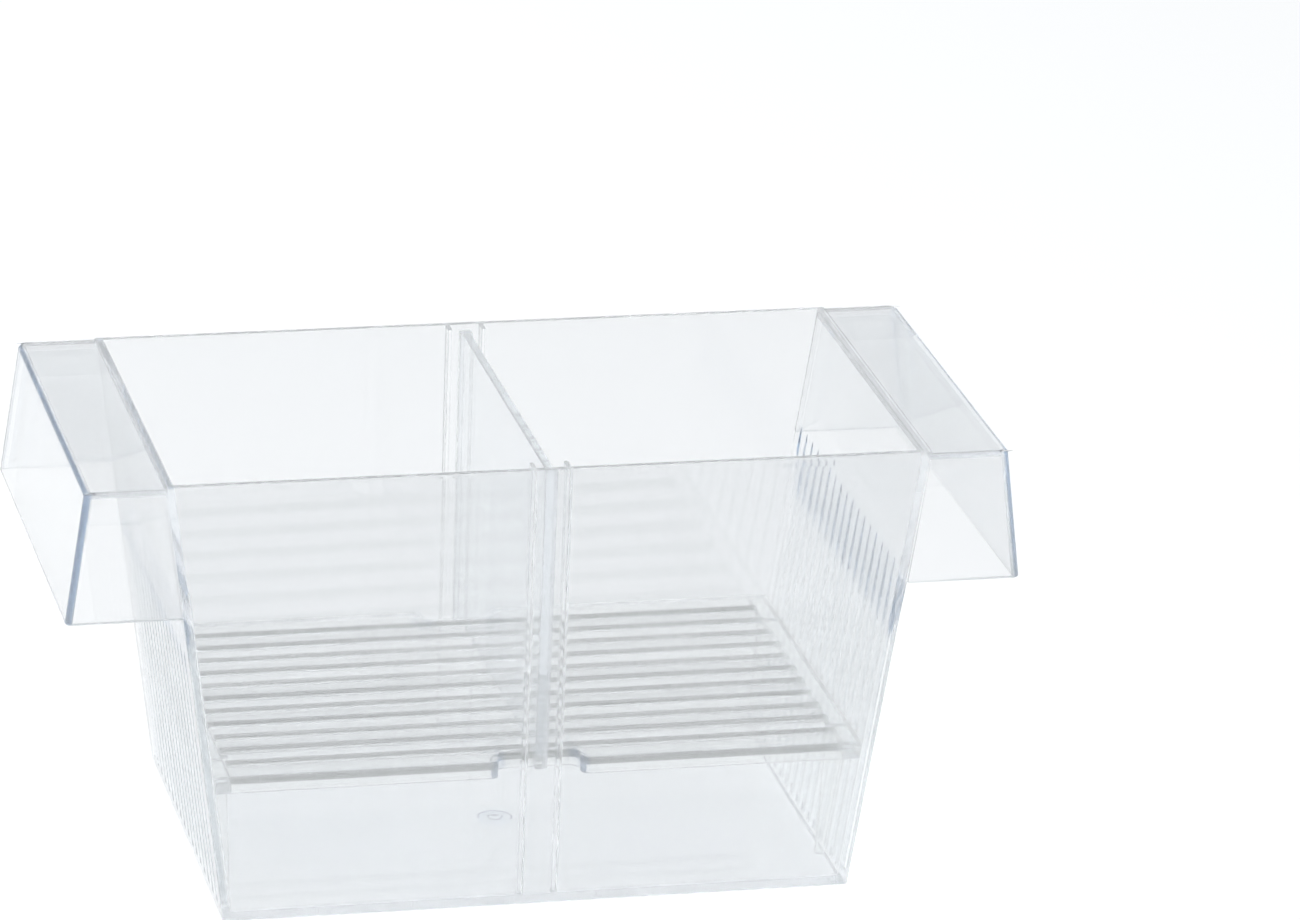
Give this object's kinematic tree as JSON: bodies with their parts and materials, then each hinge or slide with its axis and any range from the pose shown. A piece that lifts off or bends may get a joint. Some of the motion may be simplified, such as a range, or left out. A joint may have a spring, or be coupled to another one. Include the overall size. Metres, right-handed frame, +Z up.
{
  "type": "floating fish breeding box",
  "caption": "Clear moulded tub with slotted leaning end walls and hollow float wings, a slotted grate on legs inside and a lift-out divider panel in rib guides.",
  "frame": {"origin": "middle of the tub's flat underside", "axes": "+X along the length towards the right float wing, +Y towards the back, +Z up"},
  "size_m": [0.2004, 0.0922, 0.097],
  "materials": {
    "clear_polystyrene_tub": "clear moulded polystyrene, polished",
    "clear_polystyrene_grate": "clear moulded polystyrene, polished",
    "clear_polystyrene_divider": "clear moulded polystyrene, polished"
  },
  "bodies": {
    "tub": {"tub": "clear_polystyrene_tub", "guides": "clear_polystyrene_tub", "left_float": "clear_polystyrene_tub", "right_float": "clear_polystyrene_tub"},
    "grate": {"grate": "clear_polystyrene_grate"},
    "divider": {"divider": "clear_polystyrene_divider"}
  },
  "joints": [
    {"name": "grate_lift", "type": "slide", "parent": "tub", "child": "grate", "axis": [0, 0, 1], "range_m": [0, 0.1]},
    {"name": "divider_lift", "type": "slide", "parent": "grate", "child": "divider", "axis": [0, 0, 1], "range_m": [0, 0.072]}
  ]
}
